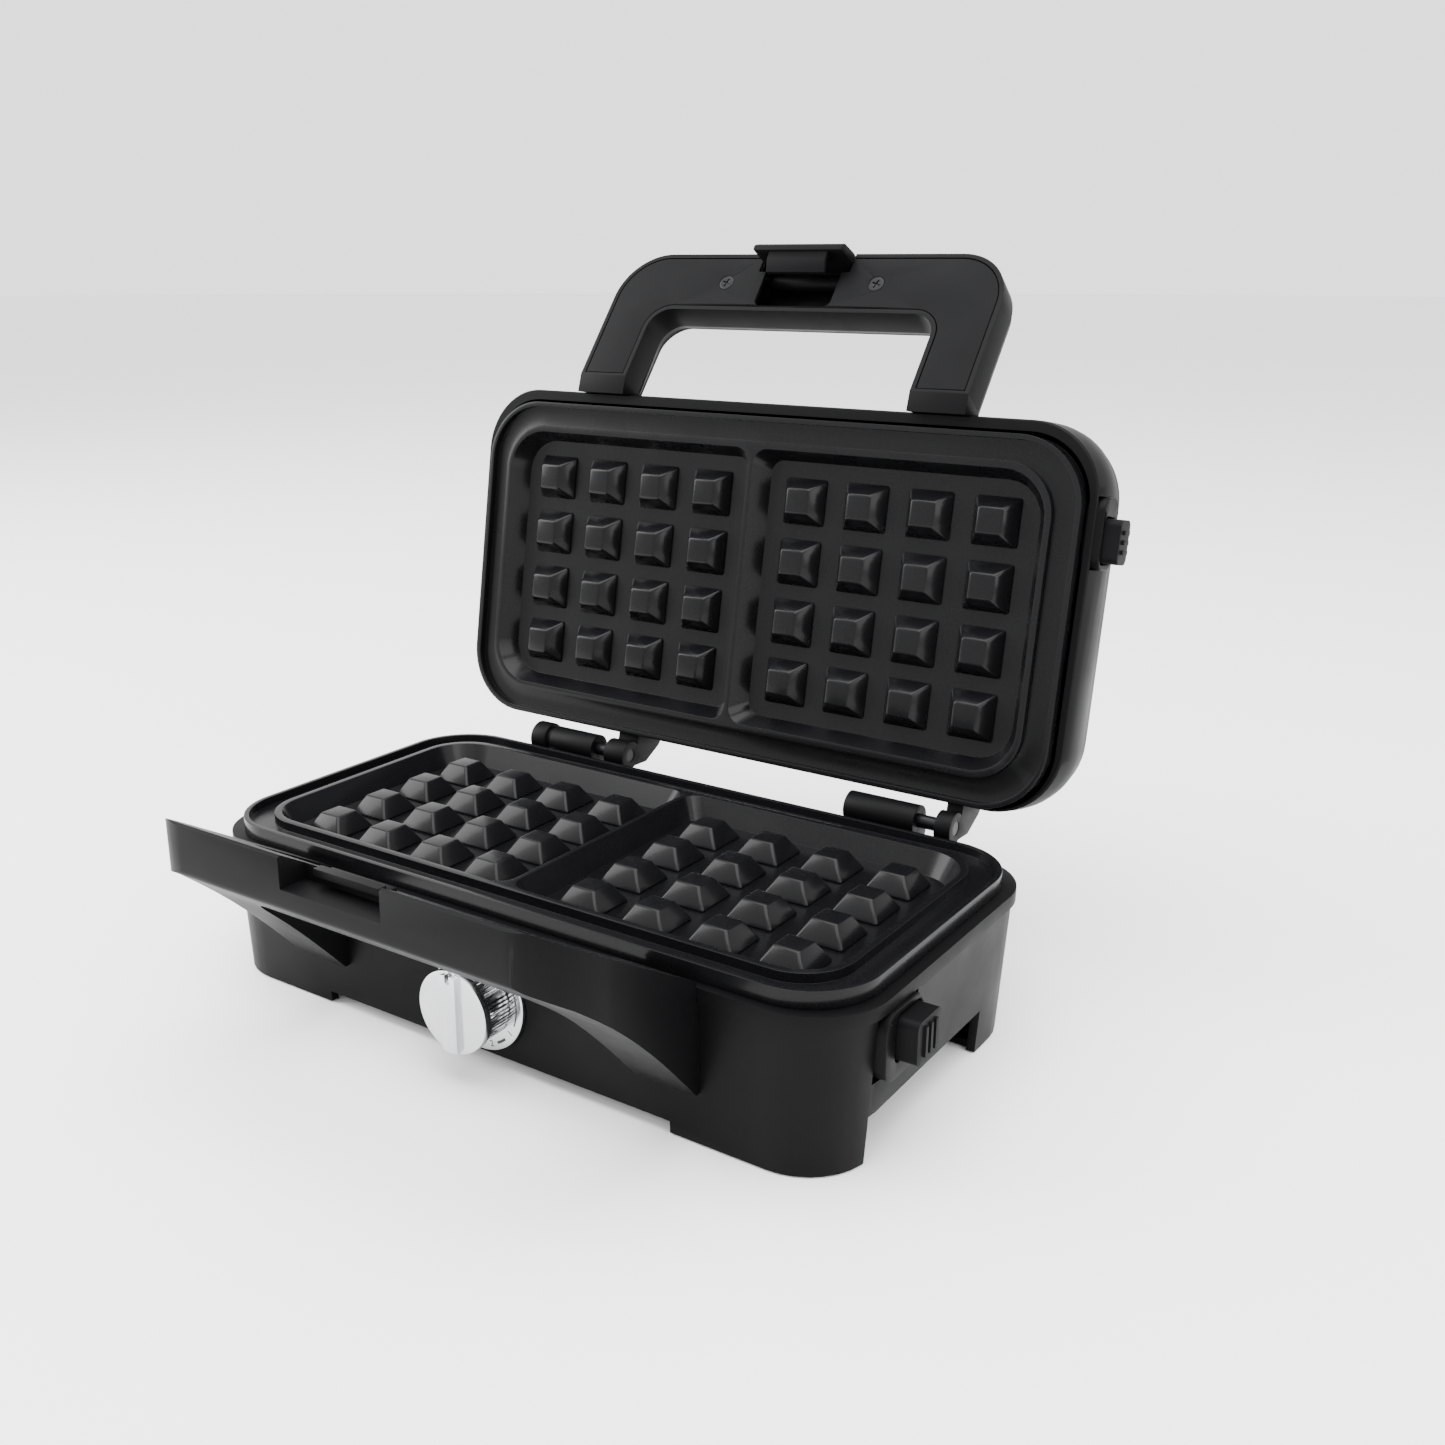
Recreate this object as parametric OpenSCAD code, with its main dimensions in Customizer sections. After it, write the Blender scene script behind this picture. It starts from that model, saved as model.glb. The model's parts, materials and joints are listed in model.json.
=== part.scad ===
// Waffle maker with removable plates: a base, a hinged lid, a latch, a heat dial and release buttons.
// Millimetres, +Z up. X = 0 is the middle, and -Y is the front.
// The lid's modules are written closed, flat over the base, and lid_place() swings them open.

/* [Base] */
// Width of the base over its top lip
base_w = 262; // [258:1:270]
// Front of the lip, ahead of the plate's centre
base_front = 66; // [65:0.5:68]
// Back of the lip, behind the plate's centre
base_back = 68; // [67:0.5:70]
// Height of the top of the lip above the table
lip_z = 52.5; // [50:0.5:56]
// Radius of the base's corners in plan
corner_r = 25; // [20:1:30]
// How far the base's walls draw in from lip to foot
base_draft = 3; // [1:0.5:5]
// Wall thickness of the plastic shells
wall = 3; // [2:0.5:4]

/* [Plates] */
// Spacing of the pyramids across the plate
pitch_x = 25; // [24:0.5:25]
// Spacing of the pyramids from front to back
pitch_y = 22.37; // [21:0.1:22.4]
// Middle spacing, between the two waffles
middle_x = 41; // [40:0.5:42]
// Side of a pyramid's flat top
pyramid_top = 9.1; // [8:0.1:10]
// How much wider a pyramid is at its foot, on each side
pyramid_flare = 4.3; // [3:0.1:4.4]
// Depth of the well below the pyramid tops
well_depth = 6.8; // [5:0.1:8]
// Outside width of the plate's rim
plate_w = 254; // [252:1:255]

/* [Lid] */
// Angle from the open rest pose to flat closed
open_angle = 99.46; // [95:0.1:105]
// Height of the hinge axis above the table
hinge_z = 58.9; // [58:0.1:60]
// Distance of the hinge axis behind the plate's centre
hinge_y = 72.7; // [72:0.1:74]
// Height of the lid's top above its rim
lid_h = 35; // [30:1:38]

/* [Handles] */
// Outside width of both handles
handle_w = 166; // [160:1:170]
// Reach of the lid handle from its root, along its slope
handle_reach = 57.5; // [55:0.5:60]
// Slope of the lid handle when the lid is closed
handle_tilt = 28.8; // [26:0.1:30]
// Thickness of the lid handle
handle_t = 17; // [15:0.5:18]

/* [Dial] */
// Radius of the knob's front disc
knob_r = 13.8; // [12:0.1:15]
// Height of the dial's axis above the table
knob_z = 24.8; // [24:0.1:26]
// Radius of the printed dial ring
dial_r = 18; // [17:0.5:20]

/* [Hidden] */
$fn = 48;
eps = 0.05;

plate_z = lip_z + 4.5;                       // tops of the lower pyramids
box_shift = [-3.675, -9.92, 0];              // puts the middle of the resting object over the origin
half_w = base_w / 2;
plate_front = -63;
plate_back = 64;
facing_gap = 2.5;                            // between the facing pyramid tops, closed
black = [0.06, 0.06, 0.065];
dark = [0.1, 0.1, 0.11];
coat = [0.13, 0.13, 0.14];
silver = [0.75, 0.75, 0.77];
steel = [0.6, 0.6, 0.62];
white = [0.9, 0.9, 0.88];

// ---------- helpers ----------

// Rounded rectangle between two corners
module round_rect(x0, x1, y0, y1, r) {
    translate([x0 + r, y0]) square([x1 - x0 - 2 * r, y1 - y0]);
    translate([x0, y0 + r]) square([x1 - x0, y1 - y0 - 2 * r]);
    for (x = [x0 + r, x1 - r], y = [y0 + r, y1 - r]) translate([x, y]) circle(r);
}

// Flat slab of a rounded rectangle, for hulls
module slab(z, x, y0, y1, r, h = 0.1) {
    translate([0, 0, z]) linear_extrude(h) round_rect(-x, x, y0, y1, r, $fn = 32);
}

// Prism along X from a side outline of [y, z] points
module side_prism(x0, x1, points) {
    translate([x0, 0, 0]) rotate([90, 0, 90]) linear_extrude(x1 - x0) polygon(points);
}

// Cylinder along X
module rod_x(x0, x1, r) {
    translate([x0, 0, 0]) rotate([0, 90, 0]) cylinder(h = x1 - x0, r = r);
}

// Cylinder along Y, from front to back
module rod_y(y0, y1, r) {
    translate([0, y1, 0]) rotate([90, 0, 0]) cylinder(h = y1 - y0, r = r);
}

// Helical spring along Z, swept from a six-sided wire
module coil_spring(length, r, wire, turns) {
    steps = 12;
    n = steps * turns;
    sides = 6;
    points = [for (i = [0:n], k = [0:sides - 1]) let (
        a = 360 * i / steps,
        b = 360 * k / sides,
        rr = r + wire * cos(b)
    ) [rr * cos(a), rr * sin(a), wire + (length - 2 * wire) * i / n + wire * sin(b)]];
    walls = [for (i = [0:n - 1], k = [0:sides - 1]) let (k2 = (k + 1) % sides)
        [i * sides + k, (i + 1) * sides + k, (i + 1) * sides + k2, i * sides + k2]];
    first = [for (k = [0:sides - 1]) k];
    last = [for (k = [sides - 1:-1:0]) n * sides + k];
    polyhedron(points, concat(walls, [first, last]));
}

// Wire swept through a list of points
function unit(v) = v / norm(v);
module wire_run(p, r) {
    sides = 8;
    last = len(p) - 1;
    rings = [for (i = [0:last]) let (
        d = unit(p[min(i + 1, last)] - p[max(i - 1, 0)]),
        u = unit(cross(d, [0.31, 0.17, 0.93])),
        w = cross(u, d)
    ) for (k = [0:sides - 1]) p[i] + r * (cos(360 * k / sides) * u + sin(360 * k / sides) * w)];
    walls = [for (i = [0:last - 1], k = [0:sides - 1]) let (k2 = (k + 1) % sides)
        [i * sides + k, i * sides + k2, (i + 1) * sides + k2, (i + 1) * sides + k]];
    polyhedron(rings, concat(
        walls,
        [[for (k = [sides - 1:-1:0]) k], [for (k = [0:sides - 1]) last * sides + k]]
    ));
}

module whole() {
    translate(box_shift) children();
}

module lid_place() {
    translate(box_shift) translate([0, hinge_y, hinge_z]) rotate([-open_angle, 0, 0])
        translate([0, -hinge_y, -hinge_z]) children();
}

// ---------- base housing ----------

lip_drop = 4.5;                              // depth of the lip that runs round the top
foot_front = -base_front + 2.5;
foot_back = base_back - base_draft;
arch_x = 72;                                 // half width of the low arch at front and back
arch_z = 4.5;
side_arch = [-45, 31];                       // the arch in each side, front to back
side_arch_z = 16;
cover_z = 9;                                 // underside of the bottom cover
hood_z = cover_z + 2.05;                     // foot of the walls inside the side arches

module base_outer(grow = 0) {
    hull() {
        slab(0.6, half_w - 4 + grow, foot_front - grow, foot_back + grow, corner_r - 3);
        slab(lip_z - lip_drop, half_w - 1 + grow, -base_front + 0.8 - grow, base_back - 0.8 + grow, corner_r);
    }
    translate([0, 0, lip_z - lip_drop]) linear_extrude(lip_drop)
        round_rect(-half_w - grow, half_w + grow, -base_front - grow, base_back + grow, corner_r);
}

// The base's hollow, open at the bottom and closed at the top by the deck that carries the plate
module base_hollow() {
    hull() {
        slab(-1, half_w - 4 - wall, foot_front + wall, foot_back - wall, corner_r - 5);
        slab(lip_z - 3.1, half_w - 1 - wall, -base_front + 1 + wall, base_back - 1 - wall, corner_r - wall);
    }
}

button_y = [-45, -21];                       // the release buttons' bosses
base_button_z = [26.5, 49.2];

module base_housing() whole() color(black) {
    difference() {
        base_outer();
        base_hollow();
        translate([0, 0, lip_z - 4]) linear_extrude(5) round_rect(-119, 119, -56, 56, 18);
        // arches
        translate([-arch_x, -base_front - 5, -1]) cube([2 * arch_x, base_front + base_back + 10, arch_z + 1]);
        translate([-half_w - 5, side_arch[0], -1]) cube([base_w + 10, side_arch[1] - side_arch[0], side_arch_z + 1]);
        // window for the release button's boss
        translate([120, button_y[0] - eps, base_button_z[0] - eps])
            cube([20, button_y[1] - button_y[0] + 2 * eps, base_button_z[1] - base_button_z[0] - 1 + 2 * eps]);
        // hole for the dial's shaft, and for the cord's gland
        translate([0, -50, knob_z]) rod_y(-30, 0, 4);
        dial_at(dial_back) {
            cylinder(h = 5, r = dial_r + 0.2);
            translate([0, 0, -0.95]) cylinder(h = 5, r = 7.1);
        }
        translate([-70, 50, 26]) rod_y(0, 30, 8);
    }
    // ceilings over the side arches, with a wall down to the bottom cover
    for (s = [-1, 1]) scale([s, 1, 1]) {
        difference() {
            translate([98, side_arch[0] - 3.5, hood_z]) cube([27.6, side_arch[1] - side_arch[0] + 8.5, 7.5]);
            translate([101, side_arch[0], hood_z - 1]) cube([30, side_arch[1] - side_arch[0], side_arch_z - hood_z + 1]);
        }
    }
    // seat of the release button's spring
    translate([108, -38, side_arch_z + 2]) cube([2, 14, 28]);
    // floors of the four legs
    difference() {
        intersection() {
            base_outer();
            for (x = [-131, 76], y = [-66, side_arch[1] + 2])
                translate([x, y, 0]) cube([55, y < 0 ? 20 : 35, 3.2]);
        }
        for (p = foot_spots) translate([p.x, p.y, -1]) cylinder(h = 5, r = 3.05);
    }
    // bosses for the cover's screws, at the ends of those walls
    for (p = cover_screw_spots) translate([p.x, p.y, hood_z]) difference() {
        cylinder(h = 12, r = 4);
        translate([0, 0, -1]) cylinder(h = 11, r = 1.55);
    }
}

cover_screw_spots = [[-106, -51.5], [106, -51.5], [-106, 38.5], [106, 38.5]];

foot_spots = [[-108, -53.5], [108, -53.5], [-108, 51], [108, 51]];

module rubber_feet() whole() color(dark) for (p = foot_spots) translate(p) {
    cylinder(h = 0.55, r = 6);
    cylinder(h = 6, r = 3);
    translate([0, 0, 3.25]) cylinder(h = 1.2, r = 4.2);
}

module base_bottom_cover() whole() color(black) difference() {
    union() {
        translate([0, 0, cover_z]) linear_extrude(2) round_rect(-97.9, 97.9, -58, 58, 12);
        for (y = [-57, 32]) translate([-111, y, cover_z]) cube([222, 11.5, 2]);
    }
    // vents
    for (i = [-6:6], y = [-34, 16]) translate([i * 9 - 1.5, y, cover_z - 1]) cube([3, 18, 4]);
    for (p = cover_screw_spots) translate([p.x, p.y, cover_z - 1]) cylinder(h = 4, r = 1.7);
}

module cover_screws() whole() color(steel) for (p = cover_screw_spots)
    translate([p.x, p.y, cover_z - 1.85]) difference() {
        union() {
            cylinder(h = 1.8, r = 3);
            cylinder(h = 11, r = 1.5);
        }
        for (a = [0, 90]) rotate(a) translate([-1.8, -0.4, -1]) cube([3.6, 0.8, 1.8]);
    }

// ---------- base handle ----------

inner_x = 61;                                // inside half width of both handles' loops
outer_x = handle_w / 2;
base_bar = [-124, -104];                     // front and back of the base handle's bar
function base_top(y) = plate_z - 2.8 + 0.59 * (-66 - y);
recess_x = 20;                               // latch recess in the bar
recess_z = plate_z + 20.7;

// Side outline of the handle: a deep gusset at the wall that rises to the bar's lip
gusset_foot = [-66, plate_z - 39];
bar_lip = [-121, plate_z + 13];
gusset = concat(
    [[-60, base_top(-66)], [-66, base_top(-66)], [-122.8, base_top(-122.8)], [-124, base_top(-124) - 1.2]],
    [for (a = [0:15:60]) bar_lip + [0, 3] + 3 * [-cos(a), -sin(a)]],
    [for (t = [0.1:0.1:1]) let (line = bar_lip + t * (gusset_foot - bar_lip)) line + [0, 3.2 * sin(180 * t)]],
    [[-60, gusset_foot.y]]
);

module handle_plan(front, inner_front, r_out, r_in) {
    difference() {
        round_rect(-outer_x, outer_x, front, -front, r_out);
        round_rect(-inner_x, inner_x, inner_front, -inner_front, r_in);
        translate([-200, -55]) square([400, 400]);
    }
}

module base_handle() whole() color(black) difference() {
    intersection() {
        side_prism(-outer_x, outer_x, gusset);
        linear_extrude(120) handle_plan(base_bar[0], base_bar[1], 20, 10);
    }
    base_outer(eps);
    // recess for the latch, open to the front and the top
    translate([-recess_x, -130, recess_z]) cube([2 * recess_x, 15.5, 30]);
    // seat of the catch plate
    translate([-13.1, -114.6, recess_z + 1.9]) cube([26.2, 4.2, 30]);
    // the lid handle's nose and the plate's rim stay clear
    translate([-200, -66.1, plate_z - 6]) cube([400, 20, 40]);
}

module latch_catch() whole() color(steel) {
    translate([-13, -114.5, recess_z + 2]) cube([26, 4, base_top(-114.5) - recess_z - 3.2]);
    translate([-13, -117.6, base_top(-117.6) - 3.4]) cube([26, 3.2, 2.4]);
}

// ---------- dial ----------

module dial_at(y) {
    translate([0, y, knob_z]) rotate([90, 0, 0]) children();
}

dial_back = -63.6;                           // back of the dial ring, on the front wall
ring_t = 2.6;

module dial_ring() whole() color(silver) dial_at(dial_back) difference() {
    union() {
        cylinder(h = ring_t, r = dial_r);
        translate([0, 0, -0.9]) cylinder(h = 1, r = 7);
    }
    translate([0, 0, -2]) cylinder(h = 6, r = 4);
}

// Printed scale, raised by a hair
module ring_sector(r, w, a0, a1, h) {
    intersection() {
        difference() {
            cylinder(h = h, r = r + w / 2);
            translate([0, 0, -1]) cylinder(h = h + 2, r = r - w / 2);
        }
        linear_extrude(h) polygon(concat([[0, 0]], [for (i = [0:6]) let (a = a0 + (a1 - a0) * i / 6)
            [30 * cos(a), 30 * sin(a)]]));
    }
}

module dial_ring_marks() whole() color(black) dial_at(dial_back - ring_t - 0.01) {
    ring_sector(15.6, 0.35, -22, 75, 0.12);
    ring_sector(15.6, 0.9, -62, -48, 0.12);
    ring_sector(15.6, 0.5, -89, -82, 0.12);
}

module knob_body() whole() color(silver) dial_at(dial_back - ring_t - 0.5) difference() {
    union() {
        cylinder(h = 9, r = 12.4);
        for (i = [0:59]) rotate(i * 6) translate([12, -0.33, 0]) cube([0.9, 0.66, 9]);
    }
    translate([0, 0, -1]) cylinder(h = 8, r = 3.02);
}

module knob_cap() whole() color(silver) dial_at(dial_back - ring_t - 9.55) difference() {
    union() {
        cylinder(h = 2.6, r = knob_r);
        // grip bar
        intersection() {
            cylinder(h = 4.4, r = knob_r - 0.6);
            translate([-3, -20, 0]) cube([6, 40, 4.4]);
        }
    }
    // pointer notch at the top edge
    translate([-0.9, knob_r - 3.4, 1.4]) cube([1.8, 6, 4]);
}

module knob_shaft() whole() color(steel) dial_at(dial_back - ring_t - 7)
    translate([0, 0, -32]) cylinder(h = 32, r = 3);

module rotary_switch() whole() color(dark) difference() {
    union() {
        translate([-18, -58.5, knob_z - 11]) cube([36, 22, 22]);
        for (x = [-12, 12]) translate([x - 3, -36.6, knob_z - 2]) cube([6, 6, 0.8]);
    }
    translate([0, 0, knob_z]) rod_y(-60, -34, 3.05);
}

// ---------- release buttons ----------

// Block with its edges along X rounded
module rounded_block(size, r) {
    rotate([90, 0, 90]) linear_extrude(size.x) round_rect(0, size.y, 0, size.z, r);
}

module bezel(x0, x1, y, z, hole_y, hole_z, r) {
    difference() {
        translate([x0, y[0], z[0]]) rounded_block([x1 - x0, y[1] - y[0], z[1] - z[0]], r);
        translate([x0 - 1, hole_y[0], hole_z[0]])
            rounded_block([x1 - x0 + 2, hole_y[1] - hole_y[0], hole_z[1] - hole_z[0]], 2);
    }
}

// Button that slides in along X, with three ridges on its end and a stem for its spring
module push_button(x0, x1, y, z, r) {
    gap = 0.4;
    translate([x0, y[0] + gap, z[0] + gap])
        rounded_block([x1 - x0, y[1] - y[0] - 2 * gap, z[1] - z[0] - 2 * gap], r);
    for (i = [-1, 0, 1]) translate([x1 - eps, (y[0] + y[1]) / 2 + i * 3.2 - 0.7, z[0] + 2.6])
        cube([0.9, 1.4, z[1] - z[0] - 5.2]);
    translate([x0 - 3, y[0] + gap - 1.4, z[0] + 3]) cube([2.8 + 0.3, y[1] - y[0] - 2 * gap + 2.8, z[1] - z[0] - 6]);
}

base_hole_y = [-39, -23];
base_hole_z = [31.4, 46];
lid_boss_z = [plate_z + 1.6 + 4, plate_z + 4 + 15.5];
lid_hole_y = [-38.6, -23];
lid_hole_z = [plate_z + 7.2, plate_z + 17.2];
lid_spring_z = plate_z + 14.5;

module base_button_bezel() whole() color(black)
    bezel(124, half_w + 1.2, button_y, [base_button_z[0], base_button_z[1] - 1], base_hole_y, base_hole_z, 6);

module base_release_button() whole() color(dark)
    push_button(123.6, half_w + 7.6, base_hole_y, base_hole_z, 2.5);

module base_button_spring() whole() color(steel)
    translate([110.2, (base_hole_y[0] + base_hole_y[1]) / 2, (base_hole_z[0] + base_hole_z[1]) / 2])
        rotate([0, 90, 0]) coil_spring(10.2, 3, 0.4, 6);

module base_plate_clips() whole() color(steel) {
    // leaf springs that grip the plate's well, one at the back and one at the front
    for (s = [-1, 1], x = [-60, 60]) scale([1, s, 1]) {
        translate([x - 8, 54.6, 30]) cube([16, 0.8, 18.5]);
        translate([x - 8, 53.9, 40]) cube([16, 0.7, 3]);
    }
}

// ---------- plates ----------

well_x = 111;                                // outer edge of a well's floor
well_y = 48;
divider_foot = 5;                            // half width of the divider between the wells, at its foot

// Square frustum that stands on the well's floor
module pyramid() {
    k = pyramid_top / 2;
    f = k + pyramid_flare;
    corners = [[-1, -1], [1, -1], [1, 1], [-1, 1]];
    polyhedron(
        concat([for (c = corners) [f * c.x, f * c.y, -well_depth]], [for (c = corners) [k * c.x, k * c.y, 0]]),
        [[0, 1, 2, 3], [4, 5, 1, 0], [5, 6, 2, 1], [6, 7, 3, 2], [7, 4, 0, 3], [7, 6, 5, 4]]
    );
}

module grid_of_pyramids() {
    for (s = [-1, 1], i = [0:3], j = [-1.5:1:1.5])
        translate([s * (middle_x / 2 + i * pitch_x), j * pitch_y, 0]) pyramid();
}

// One level of a well, with tight corners at the divider and wide ones outside
module well_level(z, x0, x1, y, r_in, r_out) {
    for (s = [-1, 1]) translate([0, 0, z]) {
        translate([x0 + r_in, s * (y - r_in), 0]) cylinder(h = 0.1, r = r_in, $fn = 32);
        translate([x1 - r_out, s * (y - r_out), 0]) cylinder(h = 0.1, r = r_out, $fn = 32);
    }
}

// The casting without its pyramids, face up, with their tops at z = 0
module plate_casting() {
    difference() {
        union() {
            hull() {
                slab(-9, well_x + 3, -well_y - 3, well_y + 3, 15);
                slab(-2.1, 117.4, -54, 54, 18);
            }
            // bead round the wells
            translate([0, 0, -2.1]) linear_extrude(3.3) round_rect(-117.4, 117.4, -54, 54, 18);
            // flange and its raised outer rim
            translate([0, 0, -4.4]) linear_extrude(2.4) round_rect(-plate_w / 2, plate_w / 2, plate_front, plate_back, 24);
            difference() {
                translate([0, 0, -4.4]) linear_extrude(5.4)
                    round_rect(-plate_w / 2, plate_w / 2, plate_front, plate_back, 24);
                translate([0, 0, -2.1]) linear_extrude(5)
                    round_rect(-plate_w / 2 + 1.8, plate_w / 2 - 1.8, plate_front + 1.8, plate_back - 1.8, 22.2);
            }
        }
        for (s = [-1, 1]) scale([s, 1, 1]) hull() {
            well_level(-well_depth, divider_foot, well_x, well_y, 5, 13);
            well_level(1.2, 0.9, well_x + 4.2, well_y + 3.4, 6, 16);
        }
    }
}

module upper_plate_at() {
    lid_place() translate([0, 0, plate_z + facing_gap - 0.05]) mirror([0, 0, 1]) children();
}

module lower_plate() whole() color(coat) translate([0, 0, plate_z + 0.05]) plate_casting();
module lower_plate_grid() whole() color(coat) translate([0, 0, plate_z + 0.05]) grid_of_pyramids();
module upper_plate() color(coat) upper_plate_at() plate_casting();
module upper_plate_grid() color(coat) upper_plate_at() grid_of_pyramids();

// ---------- heating ----------

element_r = 3.2;

// Tube bent into a long open loop, ends at the back
module heating_loop(z) {
    bend = 14;
    x = 88;
    y = 30;
    translate([0, 0, z]) {
        translate([0, -y, 0]) rod_x(-x + bend, x - bend, element_r);
        for (s = [-1, 1]) scale([s, 1, 1]) {
            translate([x - bend, -y + bend, 0]) rotate([0, 0, -90]) rotate_extrude(angle = 90)
                translate([bend, 0]) circle(element_r, $fn = 24);
            translate([x, 0, 0]) rod_y(-y + bend, y - bend, element_r);
            translate([x - bend, y - bend, 0]) rotate_extrude(angle = 90)
                translate([bend, 0]) circle(element_r, $fn = 24);
            translate([0, y, 0]) rod_x(24, x - bend, element_r);
            translate([0, y, 0]) rod_x(18, 24, 1.4);
        }
    }
}

module element_clamps(z, up) {
    for (x = [-70, 0, 70]) translate([x, -30, z]) {
        difference() {
            translate([-5, -6, -3.6]) cube([10, 12, 7.2 - 1.5]);
            rod_x(-6, 6, element_r + 0.1);
            translate([-6, -3.3, up ? -5 : 0]) cube([12, 6.6, 5]);
        }
    }
}

lower_tube_z = plate_z - 9 - element_r - 0.4;
upper_tube_z = plate_z + facing_gap + 9 + element_r + 0.4;

module lower_heating_element() whole() color(steel) heating_loop(lower_tube_z);
module upper_heating_element() lid_place() color(steel) heating_loop(upper_tube_z);

module lower_element_clamps() whole() color(steel) element_clamps(lower_tube_z, false);
module upper_element_clamps() lid_place() color(steel) mirror_at(upper_tube_z) element_clamps(0, false);

module mirror_at(z) {
    translate([0, 0, z]) mirror([0, 0, 1]) children();
}

// Sheet tray that turns the heat back to the plate
module heat_tray() {
    difference() {
        linear_extrude(6) round_rect(-104, 104, -45, 45, 12);
        translate([0, 0, 0.8]) linear_extrude(6) round_rect(-103.2, 103.2, -44.2, 44.2, 11.2);
    }
}

module lower_heat_shield() whole() color(silver) difference() {
    translate([0, 0, lower_tube_z - 4.5]) heat_tray();
    translate([14, 20, lower_tube_z - 5]) cube([14, 14, 3]);
}

module upper_heat_shield() lid_place() color(silver) mirror_at(upper_tube_z + 4.5) heat_tray();

module thermostat() whole() color(white) translate([-30, 0, 0]) {
    translate([0, 0, lower_tube_z - 3.5]) cylinder(h = 6.4, r = 8);
    translate([-12, -3, lower_tube_z - 3.65]) cube([24, 6, 0.9]);
}

module thermal_fuse() whole() color(white) translate([0, -12, lower_tube_z - 1]) {
    rod_x(18, 30, 2);
    rod_x(13, 18.1, 0.7);
    rod_x(29.9, 35, 0.7);
}

block_at = [-70, 28, cover_z + 2.05];

module terminal_block() whole() color(white) translate(block_at) {
    cube([30, 14, 12]);
    for (i = [0:2]) translate([2 + i * 9.5, -1.95, 3]) cube([7, 2, 6]);
}

module internal_wires() whole() {
    color("brown") wire_run([[-64.5, 24.6, 20.1], [-60, 10, 16], [-30, -10, 15], [-12, -27.4, 23.4]], 1.1);
    color("steelblue") wire_run([[-55, 24.6, 20], [-40, 18, 16], [10, 10, 15], [12, -27.4, 23.4]], 1.1);
    color("green") wire_run([[-45.4, 24.6, 20.1], [-36, 24.6, 17], [20, 34, 20], [21, 27, 24], [21, 27, 36]], 1.1);
}

module cord_gland() whole() color(dark) translate([-70, 0, 26]) difference() {
    union() {
        rod_y(57, 68.9, 7.95);
        rod_y(67.2, 70.2, 10);
    }
    rod_y(66, 75, 4);
}

// ---------- hinge ----------

pin_r = 2.5;
barrel_r = 5.6;

module at_hinge() {
    translate([0, hinge_y, hinge_z]) children();
}

// Bracket with a barrel round the hinge axis, screwed behind the lip
module hinge_bracket(x0, x1) {
    difference() {
        union() {
            side_prism(x0, x1, [
                [base_back + eps, 40], [base_back + 4.5, 42], [hinge_y + barrel_r, hinge_z - 6],
                [hinge_y + barrel_r, hinge_z], [hinge_y - 4, hinge_z - 4], [base_back - 3, lip_z + 2.2],
                [base_back - 3, lip_z + eps], [base_back + eps, lip_z + eps],
            ]);
            at_hinge() rod_x(x0, x1, barrel_r);
        }
        at_hinge() rod_x(x0 - 1, x1 + 1, pin_r + 0.02);
    }
}

module hinge_brackets() whole() color(black) {
    hinge_bracket(-80, -58.5);
    hinge_bracket(56.4, 84);
}

module hinge_end_caps() whole() color(dark) at_hinge() {
    difference() {
        union() {
            rod_x(-89.5, -82, 6.3);
            rod_x(-82.1, -80.05, 4.5);
        }
        rod_x(-90.5, -81, 1);
        rod_x(-83, -79, pin_r + 0.02);
    }
}

module hinge_pins() whole() color(steel) at_hinge() {
    rod_x(-82.9, -42.8, pin_r);
    rod_x(56.6, 97.8, pin_r);
}

// ---------- lid ----------

lid_rim = plate_z + 5;                       // edge of the lid's skirt, closed
lid_front = -68;

module lid_outer(grow = 0) {
    hull() {
        slab(lid_rim, half_w + grow, lid_front - grow, 65 + grow, corner_r);
        slab(lid_rim + 10, half_w + 1.5 + grow, lid_front - grow, 65 + grow, corner_r);
        slab(lid_rim + lid_h - 9, half_w - 2 + grow, -66 - grow, 64 + grow, corner_r);
        slab(lid_rim + lid_h - 0.1 + grow, half_w - 14 + grow, -54 - grow, 52 + grow, corner_r - 6);
    }
}

module lid_shell() lid_place() color(black) {
    lid_case();
    // seat of the release button's spring, hung from the top
    translate([112, -38, lid_spring_z - 3]) cube([2, 14, lid_rim + lid_h - wall - lid_spring_z + 3.5]);
}

module lid_case() difference() {
    lid_outer();
    hull() {
        slab(lid_rim - 1, half_w - 2.6, -64.2, 64.35, corner_r - 2);
        slab(lid_rim + 2.5, half_w - 2.6, -64.2, 64.35, corner_r - 2);
        slab(lid_rim + 10, half_w + 1.5 - wall, lid_front + wall, 62, corner_r - 2);
        slab(lid_rim + lid_h - 10, half_w - 2 - wall, -66 + wall, 61, corner_r - 3);
        slab(lid_rim + lid_h - wall - 0.1, half_w - 15 - wall, -52 + wall, 50, corner_r - 9);
    }
    // window for the release button's boss
    translate([120, button_y[0] - eps, lid_boss_z[0] - eps])
        cube([20, button_y[1] - button_y[0] + 2 * eps, lid_boss_z[1] - lid_boss_z[0] + 2 * eps]);
}

// Ring inside the skirt that carries the upper plate and the heat shield
frame_z = plate_z + facing_gap + 4.45;

module lid_inner_frame() lid_place() color(dark) difference() {
    translate([0, 0, frame_z]) linear_extrude(2.2) round_rect(-126.6, 126.6, -62.8, 61.4, 22);
    translate([0, 0, frame_z - 1]) linear_extrude(5) round_rect(-119, 119, -56, 56, 18);
    translate([120, button_y[0] - 1, frame_z - 1]) cube([10, button_y[1] - button_y[0] + 2, 5]);
}

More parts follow.
